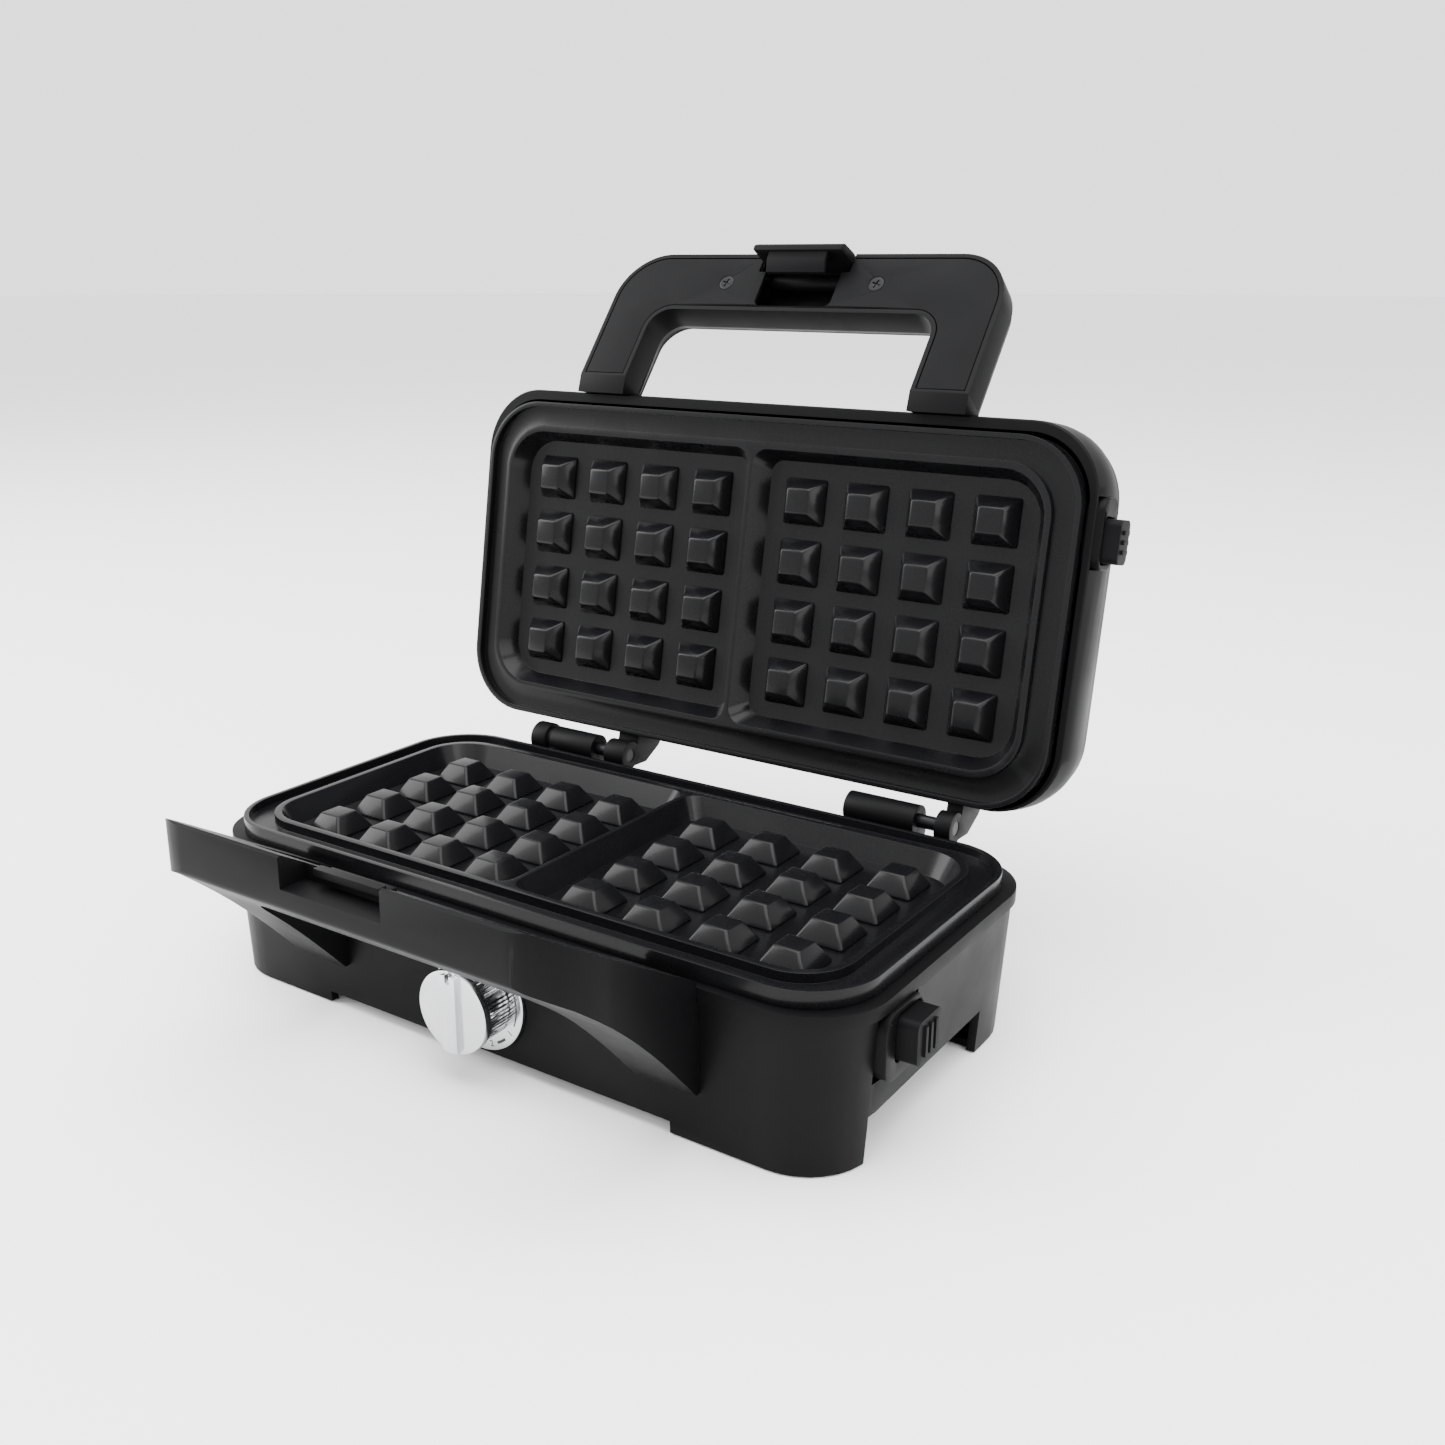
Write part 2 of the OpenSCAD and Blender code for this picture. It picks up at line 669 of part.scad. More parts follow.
module lid_ear(x0, x1) {
    difference() {
        union() {
            side_prism(x0, x1, [
                [65.15, lid_rim + 1], [hinge_y - 4, hinge_z + 3.8], [hinge_y + 1, hinge_z + 5.5],
                [hinge_y + 4.4, hinge_z + 3.5], [hinge_y + 3.4, lid_rim + 8], [70, lid_rim + 16], [65.15, lid_rim + 19],
            ]);
            at_hinge() rod_x(x0, x1, barrel_r);
        }
        at_hinge() rod_x(x0 - 1, x1 + 1, pin_r + 0.05);
        lid_outer(eps);
    }
}

module lid_hinge_ears() lid_place() color(black) {
    lid_ear(-52, -42.5);
    lid_ear(92, 98);
}

// ---------- lid handle ----------

handle_root = [0, -75, plate_z + 1.66];
panel_t = 2;
root_t = 12;                                 // thickness of the roots where they meet the lid

// The handle's own frame: its underside is z = 0, its root is y = 0, and it reaches to -Y
module handle_frame() {
    translate(handle_root) rotate([-handle_tilt, 0, 0]) children();
}

// Loop outline, inset by d on every side but the root
module loop_outline(d, root = 0) {
    difference() {
        intersection() {
            round_rect(-outer_x + d, outer_x - d, -handle_reach + d, 60, 20.5 - d);
            translate([-200, -200]) square([400, 200 + root]);
        }
        round_rect(-inner_x - d, inner_x + d, -31.6 - d, 60, 9 + d);
    }
}

latch_slot = [-57.6, -49.5];                 // the latch's slot in the bar, along the handle
pocket_s = -34;

module handle_shell() lid_place() color(black) difference() {
    union() {
        handle_frame() {
            linear_extrude(handle_t - 4) loop_outline(0);
            translate([0, 0, handle_t - 4 - eps]) linear_extrude(2.5) loop_outline(1.2);
            translate([0, 0, handle_t - 2]) linear_extrude(2) loop_outline(3);
        }
        for (s = [-1, 1]) side_prism(s > 0 ? inner_x : -outer_x, s > 0 ? outer_x : -inner_x, [
            [-60, plate_z + 0.6], [-67.5, plate_z + 0.6], [-75, plate_z + 1.66],
            [-75 + root_t * sin(handle_tilt), plate_z + 1.66 + root_t * cos(handle_tilt)], [-60, plate_z + 13],
        ]);
    }
    // the roots end at the lid's front wall
    translate([-200, lid_front - eps, plate_z - 5]) cube([400, 40, 60]);
    handle_frame() {
        translate([0, 0, -1]) linear_extrude(1 + panel_t + 0.1) loop_outline(1.7, -1);
        difference() {
            translate([0, 0, panel_t]) linear_extrude(handle_t - 5) loop_outline(3.4, -4);
            for (x = [-32.3, 32.3]) translate([x, -44.3, 0]) cylinder(h = 30, r = 4);
            // ribs beside the latch
            for (x = [-23.5, 20.5]) translate([x, -60, 0]) cube([3, 40, 30]);
        }
        for (x = [-32.3, 32.3]) translate([x, -44.3, -1]) cylinder(h = 13, r = 1.55);
        // slot for the latch through the front of the bar
        translate([-19.6, latch_slot[0] - 5, -1]) cube([39.2, latch_slot[1] - latch_slot[0] + 5, 14]);
        // bore for the latch's pin
        translate([0, pin_at.x, pin_at.y]) rod_x(-23.6, 23.6, 1.52);
    }
}

pin_at = [-50.6, 8.8];                       // the latch pin in the handle's frame: along it and above its underside

module handle_panel() lid_place() color(dark) handle_frame() difference() {
    linear_extrude(panel_t) loop_outline(2, -1.3);
    for (x = [-32.3, 32.3]) translate([x, -44.3, -1]) {
        cylinder(h = 5, r = 1.7);
        cylinder(h = 2.2, r = 3.1);
    }
    translate([-19.6, -60, -1]) cube([39.2, 60 + latch_slot[1], 5]);
    // finger pocket below the latch
    translate([-16.3, pocket_s - 16, -1]) cube([32.6, 16 - 3, 5]);
    translate([-13.3, pocket_s - 4, -1]) cube([26.6, 4, 5]);
    for (x = [-13.3, 13.3]) translate([x, pocket_s - 3, -1]) cylinder(h = 5, r = 3);
}

module handle_screws() lid_place() color(steel) handle_frame() for (x = [-32.3, 32.3])
    translate([x, -44.3, 0]) difference() {
        union() {
            translate([0, 0, 0.1]) cylinder(h = 1, r = 3);
            translate([0, 0, 0.1]) cylinder(h = 10.5, r = 1.5);
        }
        for (a = [20, 110]) rotate(a) translate([-1.8, -0.35, -1]) cube([3.6, 0.7, 1.7]);
    }

// ---------- latch ----------

// Front plate with a hook that reaches under the catch, hung on a pin inside the handle
module latch_hook() lid_place() color(dark) handle_frame() {
    difference() {
        union() {
            translate([0, pin_at.x, pin_at.y]) rod_x(-16.5, 16.5, 3.2);
            side_prism(-19, 19, [
                [-57.3, 10.5], [-57.3, -1], [-55.6, -8.2], [-54, -9.6], [-52.2, -9.2], [-52.9, -4],
                [-53.6, 2], [-53.4, 8], [-54.5, 11],
            ]);
            side_prism(-16.5, 16.5, [[-54.4, 11], [-54, 6.6], [pin_at.x, pin_at.y - 3.1], [pin_at.x, pin_at.y + 3.1]]);
            // hook
            side_prism(-12.5, 12.5, [[-53, -8], [-49.5, -7.7], [-45.2, -5.2], [-45.4, -3.6], [-50.2, -6.1], [-53.2, -5]]);
        }
        translate([0, pin_at.x, pin_at.y]) rod_x(-20, 20, 1.56);
    }
}

module latch_pin() lid_place() color(steel) handle_frame()
    translate([0, pin_at.x, pin_at.y]) rod_x(-23.3, 23.3, 1.5);

module latch_spring() lid_place() color(steel) handle_frame()
    translate([19.9, pin_at.x, pin_at.y]) rotate([0, -90, 0]) coil_spring(3, 2.5, 0.3, 3);

// ---------- lid release button ----------

module lid_button_bezel() lid_place() color(black)
    bezel(127.4, half_w + 2.6, button_y, lid_boss_z, lid_hole_y, lid_hole_z, 5);

module lid_release_button() lid_place() color(dark)
    push_button(124.6, half_w + 8, lid_hole_y, lid_hole_z, 2.5);

module lid_button_spring() lid_place() color(steel)
    translate([114.1, (lid_hole_y[0] + lid_hole_y[1]) / 2, lid_spring_z])
        rotate([0, 90, 0]) coil_spring(7.3, 2.2, 0.4, 5);

module lid_plate_clips() lid_place() color(steel) {
    for (s = [-1, 1], x = [-60, 60]) scale([1, s, 1]) {
        translate([x - 8, 54.6, frame_z + 0.2]) cube([16, 0.8, 18]);
        translate([x - 8, 53.9, frame_z + 6]) cube([16, 0.7, 3]);
    }
}

// ---------- the assembly ----------

base_housing();
base_bottom_cover();
rubber_feet();
cover_screws();
base_handle();
latch_catch();
dial_ring();
dial_ring_marks();
knob_body();
knob_cap();
knob_shaft();
rotary_switch();
base_button_bezel();
base_release_button();
base_button_spring();
base_plate_clips();
lower_plate();
lower_plate_grid();
lower_heating_element();
lower_element_clamps();
lower_heat_shield();
thermostat();
thermal_fuse();
terminal_block();
internal_wires();
cord_gland();
hinge_brackets();
hinge_end_caps();
hinge_pins();
lid_shell();
lid_inner_frame();
lid_hinge_ears();
handle_shell();
handle_panel();
handle_screws();
latch_hook();
latch_pin();
latch_spring();
lid_button_bezel();
lid_release_button();
lid_button_spring();
lid_plate_clips();
upper_plate();
upper_plate_grid();
upper_heating_element();
upper_element_clamps();
upper_heat_shield();
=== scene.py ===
"""Waffle maker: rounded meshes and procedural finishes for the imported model.

It also sets up the studio: a pale floor, soft lights and the camera.
"""

import json
import logging
import math
from collections.abc import Callable
from dataclasses import dataclass, field
from enum import Enum

import bmesh
import bpy
from mathutils import Matrix, Vector

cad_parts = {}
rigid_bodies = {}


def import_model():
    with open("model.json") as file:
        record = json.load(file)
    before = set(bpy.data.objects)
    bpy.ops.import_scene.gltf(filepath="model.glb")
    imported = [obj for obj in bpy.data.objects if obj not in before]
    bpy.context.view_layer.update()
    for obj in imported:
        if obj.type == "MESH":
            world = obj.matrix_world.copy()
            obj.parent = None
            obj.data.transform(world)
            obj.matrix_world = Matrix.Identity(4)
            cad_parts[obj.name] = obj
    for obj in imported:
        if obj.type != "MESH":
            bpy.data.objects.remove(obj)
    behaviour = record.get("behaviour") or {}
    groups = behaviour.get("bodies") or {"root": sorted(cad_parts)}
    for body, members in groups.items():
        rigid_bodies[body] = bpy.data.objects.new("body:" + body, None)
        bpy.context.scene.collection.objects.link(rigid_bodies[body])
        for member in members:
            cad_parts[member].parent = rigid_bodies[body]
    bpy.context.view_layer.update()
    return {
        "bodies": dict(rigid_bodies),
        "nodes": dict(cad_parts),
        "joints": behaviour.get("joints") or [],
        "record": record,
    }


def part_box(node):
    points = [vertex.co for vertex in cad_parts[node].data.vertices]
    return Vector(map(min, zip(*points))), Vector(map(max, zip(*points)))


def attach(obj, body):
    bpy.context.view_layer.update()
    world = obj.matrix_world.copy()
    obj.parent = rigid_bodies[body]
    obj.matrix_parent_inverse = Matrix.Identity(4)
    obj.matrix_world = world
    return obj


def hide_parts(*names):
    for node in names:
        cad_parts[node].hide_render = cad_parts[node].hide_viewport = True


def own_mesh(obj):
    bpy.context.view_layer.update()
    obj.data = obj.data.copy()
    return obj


LOG = logging.getLogger("waffle_maker")
MM = 0.001

# Points of a copied node closer than this are one point.
WELD_MM = 0.002

# What all finishes share. The smear is the broad, faint unevenness of a handled and wiped
# surface, about 30 mm across.
SMEARS_PER_METRE = 33.0
NOISE_RANGE = (0.3, 0.7)
FLECK = 0.22
BUMP_STRENGTH = 0.6
# A point's sharpness where edge wear and painted edge highlight begin and where they are full. A
# flat face has 0.5.
EDGE_WEAR_AND_HIGHLIGHT_SHARPNESS = (0.51, 0.58)
# Brushed grain is 25 times as long as it is wide.
BRUSH_STRETCH = 0.04

# Sockets of a colour mix, whose names its number sockets have too.
MIX_FACTOR, MIX_FIRST, MIX_SECOND, MIX_RESULT = 0, 6, 7, 2


# ---------- colour and nodes ----------


def linear(hex_colour: str) -> tuple[float, float, float, float]:
    """Turns an sRGB hex colour into linear RGBA.

    Args:
        hex_colour: six hex digits, with or without a leading #.

    Returns:
        The linear red, green and blue, and an alpha of 1.
    """
    digits = hex_colour.lstrip("#")
    values = [int(digits[i : i + 2], 16) / 255 for i in (0, 2, 4)]
    red, green, blue = (v / 12.92 if v <= 0.04045 else ((v + 0.055) / 1.055) ** 2.4 for v in values)
    return (red, green, blue, 1.0)


def add_node(
    tree: bpy.types.NodeTree,
    kind: str,
    settings: dict | None = None,
    values: dict | None = None,
    links: dict | None = None,
) -> bpy.types.Node:
    """Adds one node, sets it up and links its inputs.

    Args:
        tree: the material's node tree.
        kind: the node's type, such as ShaderNodeTexNoise.
        settings: attributes of the node itself.
        values: default values of its input sockets, by name or index.
        links: output sockets that feed its inputs, by name or index.

    Returns:
        The new node.
    """
    node = tree.nodes.new(kind)
    for name, value in (settings or {}).items():
        setattr(node, name, value)
    for name, value in (values or {}).items():
        node.inputs[name].default_value = value
    for name, source in (links or {}).items():
        tree.links.new(source, node.inputs[name])
    return node


class Texture(Enum):
    """How a finish's surface was made. Only brushing draws the grain out in one direction."""

    SPARK_ERODED = "spark-eroded mould texture"
    SPRAYED = "sprayed coating"
    BRUSHED = "brushed metal"


@dataclass(frozen=True)
class Finish:
    """One real material with the way its surface was made."""

    name: str
    colour: str
    # The lighter colour of flecks and of sharp edges, where it is partly wear and partly a painted
    # highlight.
    wear_and_highlight_colour: str
    roughness: float
    texture: Texture = Texture.SPARK_ERODED
    grain_mm: float = 0.4
    bump_mm: float = 0.02
    metallic: float = 0.0
    ior: float = 1.5
    coat: float = 0.0
    coat_roughness: float = 0.2
    specular: float = 0.5
    roughness_spread: float = 0.06
    # How much of that colour the sharpest edges get: edge wear and painted highlight.
    edge_wear_and_highlight: float = 0.35

    def material(self) -> bpy.types.Material:
        """Makes the procedural material once.

        Returns:
            The new material, or the one made before.
        """
        made = bpy.data.materials.get(self.name)
        if made:
            return made
        made = bpy.data.materials.new(self.name)
        made.use_nodes = True
        tree = made.node_tree
        tree.nodes.clear()
        place = add_node(tree, "ShaderNodeTexCoord").outputs["Object"]
        per_metre = 1 / (self.grain_mm * MM)
        along = BRUSH_STRETCH if self.texture is Texture.BRUSHED else 1.0
        mapped = add_node(
            tree,
            "ShaderNodeMapping",
            values={"Scale": (along * per_metre, per_metre, per_metre)},
            links={"Vector": place},
        ).outputs["Vector"]
        grain = add_node(
            tree,
            "ShaderNodeTexNoise",
            values={"Scale": 1.0, "Detail": 3.0, "Roughness": 0.6},
            links={"Vector": mapped},
        ).outputs["Fac"]
        smear = add_node(
            tree,
            "ShaderNodeTexNoise",
            values={"Scale": SMEARS_PER_METRE, "Detail": 4.0, "Roughness": 0.55},
            links={"Vector": place},
        ).outputs["Fac"]
        edge = add_node(tree, "ShaderNodeNewGeometry").outputs["Pointiness"]
        # Sharp edges get the lighter colour: partly edge wear, partly a painted highlight.
        wear_and_highlight_edge = add_node(
            tree,
            "ShaderNodeMapRange",
            values={
                "From Min": EDGE_WEAR_AND_HIGHLIGHT_SHARPNESS[0],
                "From Max": EDGE_WEAR_AND_HIGHLIGHT_SHARPNESS[1],
                "To Min": 0.0,
                "To Max": self.edge_wear_and_highlight,
            },
            links={"Value": edge},
        ).outputs["Result"]
        fleck = add_node(
            tree,
            "ShaderNodeMapRange",
            values={
                "From Min": NOISE_RANGE[0],
                "From Max": NOISE_RANGE[1],
                "To Min": 0.0,
                "To Max": FLECK,
            },
            links={"Value": grain},
        ).outputs["Result"]
        amount = add_node(
            tree,
            "ShaderNodeMath",
            settings={"operation": "MAXIMUM"},
            links={0: wear_and_highlight_edge, 1: fleck},
        ).outputs["Value"]
        colour = add_node(
            tree,
            "ShaderNodeMix",
            settings={"data_type": "RGBA"},
            values={MIX_FIRST: linear(self.colour), MIX_SECOND: linear(self.wear_and_highlight_colour)},
            links={MIX_FACTOR: amount},
        ).outputs[MIX_RESULT]
        rough = add_node(
            tree,
            "ShaderNodeMapRange",
            values={
                "From Min": NOISE_RANGE[0],
                "From Max": NOISE_RANGE[1],
                "To Min": self.roughness - self.roughness_spread,
                "To Max": self.roughness + self.roughness_spread,
            },
            links={"Value": smear},
        ).outputs["Result"]
        relief = add_node(
            tree,
            "ShaderNodeBump",
            values={"Strength": BUMP_STRENGTH, "Distance": self.bump_mm * MM},
            links={"Height": grain},
        ).outputs["Normal"]
        shader = add_node(
            tree,
            "ShaderNodeBsdfPrincipled",
            values={
                "Metallic": self.metallic,
                "IOR": self.ior,
                "Specular IOR Level": self.specular,
                "Coat Weight": self.coat,
                "Coat Roughness": self.coat_roughness,
            },
            links={"Base Color": colour, "Roughness": rough, "Normal": relief},
        )
        add_node(tree, "ShaderNodeOutputMaterial", links={"Surface": shader.outputs["BSDF"]})
        return made


# Real mould texture, sprayed grain and brush lines are finer than the grain_mm given here. They
# are drawn coarser so that they show.

# Injection-moulded black polypropylene from a spark-eroded mould: a soft, broad sheen.
HOUSING = Finish(
    name="black_moulded_housing_plastic",
    colour="#060607",
    wear_and_highlight_colour="#0d0d0e",
    roughness=0.45,
    specular=0.06,
    grain_mm=0.5,
    bump_mm=0.03,
)
# The handle cover, latch and buttons: black moulded plastic, a trace lighter and duller.
PANEL = Finish(
    name="satin_black_panel_plastic",
    colour="#080809",
    wear_and_highlight_colour="#101012",
    roughness=0.5,
    specular=0.05,
    grain_mm=0.6,
    bump_mm=0.03,
)
# Sprayed and baked PTFE on die-cast aluminium: semi-gloss, with thin lights on rounded edges,
# partly a painted highlight.
NONSTICK = Finish(
    name="black_ptfe_nonstick_coating",
    colour="#070708",
    wear_and_highlight_colour="#1c1c1e",
    roughness=0.27,
    texture=Texture.SPRAYED,
    grain_mm=0.7,
    bump_mm=0.015,
    coat=0.1,
    coat_roughness=0.14,
    specular=0.09,
)
# Satin chrome plating on moulded ABS: bright, with a faint blur.
SATIN_CHROME = Finish(
    name="satin_chrome_plating",
    colour="#c2c3c5",
    wear_and_highlight_colour="#e2e3e4",
    roughness=0.16,
    texture=Texture.SPRAYED,
    grain_mm=0.25,
    bump_mm=0.004,
    metallic=1.0,
    roughness_spread=0.04,
)
# Screen-printed ink on the ring: matt black on bright metal.
PRINT = Finish(
    name="black_screen_print",
    colour="#0d0d0e",
    wear_and_highlight_colour="#161617",
    roughness=0.55,
    texture=Texture.SPRAYED,
    grain_mm=0.1,
    bump_mm=0.004,
)
# Zinc plating on steel clips, clamps and spindle: pale grey metal with fine lines.
ZINC = Finish(
    name="zinc_plated_steel",
    colour="#9b9c9f",
    wear_and_highlight_colour="#c4c5c8",
    roughness=0.32,
    texture=Texture.BRUSHED,
    grain_mm=0.3,
    bump_mm=0.006,
    metallic=1.0,
)
# Blackened screws and hinge metal: dark and slightly glossy.
BLACK_STEEL = Finish(
    name="black_oxide_steel",
    colour="#0e0e0f",
    wear_and_highlight_colour="#242427",
    roughness=0.34,
    texture=Texture.BRUSHED,
    grain_mm=0.3,
    bump_mm=0.006,
    metallic=0.6,
    specular=0.2,
)
# Drawn steel wire: bright lines along the coils.
SPRING = Finish(
    name="bright_spring_wire",
    colour="#8d8e92",
    wear_and_highlight_colour="#b4b5b8",
    roughness=0.28,
    texture=Texture.BRUSHED,
    grain_mm=0.3,
    bump_mm=0.004,
    metallic=1.0,
)
# Steel element sheath after many heatings: dull metal with a warm brown tint.
SHEATH = Finish(
    name="heat_tinted_element_sheath",
    colour="#6f6a63",
    wear_and_highlight_colour="#8d8377",
    roughness=0.4,
    texture=Texture.SPRAYED,
    grain_mm=1.2,
    bump_mm=0.008,
    metallic=1.0,
)
# Rolled aluminium sheet: pale metal with faint lines from the rolls.
SHEET = Finish(
    name="rolled_aluminium_sheet",
    colour="#b9babd",
    wear_and_highlight_colour="#d3d4d6",
    roughness=0.33,
    texture=Texture.BRUSHED,
    grain_mm=0.5,
    bump_mm=0.008,
    metallic=1.0,
)
# Moulded rubber: matt, and greyer than the housing.
RUBBER = Finish(
    name="moulded_black_rubber",
    colour="#121213",
    wear_and_highlight_colour="#1d1d1e",
    roughness=0.7,
    grain_mm=0.8,
    bump_mm=0.04,
)
# Phenolic moulding: brownish black with a slight shine.
SWITCH = Finish(
    name="black_phenolic_moulding",
    colour="#1b1715",
    wear_and_highlight_colour="#2b2522",
    roughness=0.4,
    grain_mm=0.5,
    bump_mm=0.02,
)
# Glazed steatite: creamy white with soft highlights.
CERAMIC = Finish(
    name="glazed_steatite_ceramic",
    colour="#d8d4c8",
    wear_and_highlight_colour="#eae7de",
    roughness=0.25,
    texture=Texture.SPRAYED,
    grain_mm=0.8,
    bump_mm=0.01,
)
# Extruded silicone sleeve: reddish brown and almost matt.
SILICONE = Finish(
    name="silicone_wire_sleeve",
    colour="#4a2c1c",
    wear_and_highlight_colour="#63402c",
    roughness=0.5,
    grain_mm=0.5,
    bump_mm=0.02,
)
# Painted board: nearly white and matt, so that shadows stay soft.
FLOOR = Finish(
    name="pale_studio_sweep",
    colour="#f4f4f4",
    wear_and_highlight_colour="#f8f8f8",
    roughness=0.6,
    texture=Texture.SPRAYED,
    grain_mm=2.0,
    bump_mm=0.01,
    roughness_spread=0.02,
)


# ---------- shared mesh work ----------


def put_finish(obj: bpy.types.Object, finish: Finish) -> None:
    """Gives an object one finish in all its slots.

    Args:
        obj: the object, with a mesh.
        finish: the finish to give it.
    """
    count = max(1, len(obj.material_slots))
    obj.data.materials.clear()
    for _ in range(count):
        obj.data.materials.append(finish.material())
    for polygon in obj.data.polygons:
        polygon.material_index = 0


def smooth_by_angle(mesh: bpy.types.Mesh, degrees: float) -> None:
    """Shades a mesh smooth but for edges sharper than the angle.

    Args:
        mesh: the mesh to shade.
        degrees: the angle between faces from which an edge stays sharp.
    """
    for polygon in mesh.polygons:
        polygon.use_smooth = True
    mesh.set_sharp_from_angle(angle=math.radians(degrees))


def mesh_object(name: str, mesh: bpy.types.Mesh) -> bpy.types.Object:
    """Links a mesh to the scene as a new object.

    Args:
        name: the object's name.
        mesh: its mesh.

    Returns:
        The new object.
    """
    obj = bpy.data.objects.new(name, mesh)
    bpy.context.scene.collection.objects.link(obj)
    return obj


def apply_modifiers(obj: bpy.types.Object) -> None:
    """Turns an object's modified mesh into its own mesh.

    Args:
        obj: the object, which loses its modifiers.
    """
    graph = bpy.context.evaluated_depsgraph_get()
    made = bpy.data.meshes.new_from_object(obj.evaluated_get(graph))
    obj.modifiers.clear()
    obj.data = made


def box_corners(
    across: tuple[float, float], along: tuple[float, float], high: tuple[float, float]
) -> list[tuple[float, float, float]]:
    """Lists a box's eight corners.

    Args:
        across: the box's range in x.
        along: its range in y.
        high: its range in z.

    Returns:
        The corners, as x, y and z.
    """
    return [(x, y, z) for x in across for y in along for z in high]


def cut_box(obj: bpy.types.Object, corners: list[Vector]) -> None:
    """Cuts a box out of a closed piece.

    Args:
        obj: the piece.
        corners: the box's corners in the order of box_corners.
    """
    work = bmesh.new()
    bmesh.ops.convex_hull(work, input=[work.verts.new(c) for c in corners])
    mesh = bpy.data.meshes.new("cutter")
    work.to_mesh(mesh)
    work.free()
    cutter = mesh_object("cutter", mesh)
    cut = obj.modifiers.new("Window", "BOOLEAN")
    cut.operation, cut.object, cut.solver = "DIFFERENCE", cutter, "EXACT"
    apply_modifiers(obj)
    bpy.data.objects.remove(cutter)


@dataclass(frozen=True)
class Rounding:
    """How a copied part's edges are rounded."""

    width_mm: float = 0.5
    segments: int = 3
    limit_degrees: float = 28.0
    smooth_degrees: float = 32.0


@dataclass
class Dresser:
    """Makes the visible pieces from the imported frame."""

    frame: dict
    bodies: dict[str, str] = field(default_factory=dict)
    slots: dict[str, str] = field(default_factory=dict)

    def __post_init__(self) -> None:
        """Notes each node's body and its material slot."""
        record = self.frame["record"]
        for body, members in record["behaviour"]["bodies"].items():
            for node in members:
                self.bodies[node] = body
        for part in record["subparts"]:
            self.slots[part["node"]] = part["material_slot"]

    def shade(self, node: str, finish: Finish) -> None:
        """Gives a finish to a CAD node that keeps its shape.

        Args:
            node: the node's name.
            finish: its finish.
        """
        obj = self.frame["nodes"][node]
        put_finish(obj, finish)
        LOG.info("%s keeps its shape, in %s", node, finish.name)

    def claim(
        self, obj: bpy.types.Object, nodes: tuple[str, ...], finish: Finish
    ) -> bpy.types.Object:
        """Lets a new piece stand for CAD nodes.

        Args:
            obj: the new piece, in place.
            nodes: the nodes it replaces, all of one body.
            finish: its finish.

        Returns:
            The same piece.
        """
        put_finish(obj, finish)
        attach(obj, self.bodies[nodes[0]])
        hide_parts(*nodes)
        LOG.info("%s replaces %s, in %s", obj.name, ", ".join(nodes), finish.name)
        return obj

    def rounded(
        self,
        name: str,
        nodes: tuple[str, ...],
        finish: Finish,
        rounding: Rounding = Rounding(),
        reshape: Callable[[Vector], Vector] | None = None,
    ) -> bpy.types.Object:
        """Copies CAD nodes into one piece with rounded edges.

        Args:
            name: the piece's name.
            nodes: the nodes to copy and replace.
            finish: its finish.
            rounding: how its edges are rounded.
            reshape: moves a point of the copy, if the copy's shape needs it.

        Returns:
            The new piece.
        """
        work = bmesh.new()
        for node in nodes:
            work.from_mesh(self.frame["nodes"][node].data)
        bmesh.ops.remove_doubles(work, verts=work.verts, dist=WELD_MM * MM)
        if reshape:
            for vert in work.verts:
                vert.co = reshape(vert.co)
        mesh = bpy.data.meshes.new(name)
        work.to_mesh(mesh)
        work.free()
        obj = mesh_object(name, mesh)
        bevel = obj.modifiers.new("Rounded edges", "BEVEL")
        bevel.width = rounding.width_mm * MM
        bevel.segments = rounding.segments
        bevel.limit_method = "ANGLE"
        bevel.angle_limit = math.radians(rounding.limit_degrees)
        bevel.use_clamp_overlap = True
        bevel.miter_outer = "MITER_SHARP"
        apply_modifiers(obj)
        smooth_by_angle(obj.data, rounding.smooth_degrees)
        return self.claim(obj, nodes, finish)


# ---------- sub-assemblies ----------

FINE = Rounding(width_mm=0.3, segments=2)
SOFT = Rounding(width_mm=0.7, segments=3)
KNURL = Rounding(width_mm=0.25, segments=2)
INK = Rounding(width_mm=0.02, segments=1)
WIRE = Rounding(width_mm=0.01, segments=1, limit_degrees=80.0, smooth_degrees=60.0)


@dataclass
class BaseUnit:
    """The lower half: housing, bottom cover, feet, loop handle and catch."""

    dresser: Dresser
    shell: Rounding = Rounding(width_mm=0.6, segments=3)
    bar: Rounding = Rounding(
        width_mm=1.6, segments=4, limit_degrees=24.0, smooth_degrees=40.0
    )

    def build(self) -> None:
        """Dresses every outside piece of the base."""
        rounded = self.dresser.rounded
        rounded("base_shell", ("base_housing",), HOUSING, self.shell)
        rounded("base_underside", ("base_bottom_cover",), HOUSING, FINE)
        rounded("feet", ("rubber_feet",), RUBBER, SOFT)
        rounded("base_loop_handle", ("base_handle",), HOUSING, self.bar)
        rounded("catch_bar", ("latch_catch",), HOUSING, FINE)
        rounded("cover_screw_heads", ("cover_screws",), BLACK_STEEL, FINE)
        rounded("base_spring_clips", ("base_plate_clips",), ZINC, FINE)
        rounded("cord_inlet", ("cord_gland",), SWITCH, FINE)


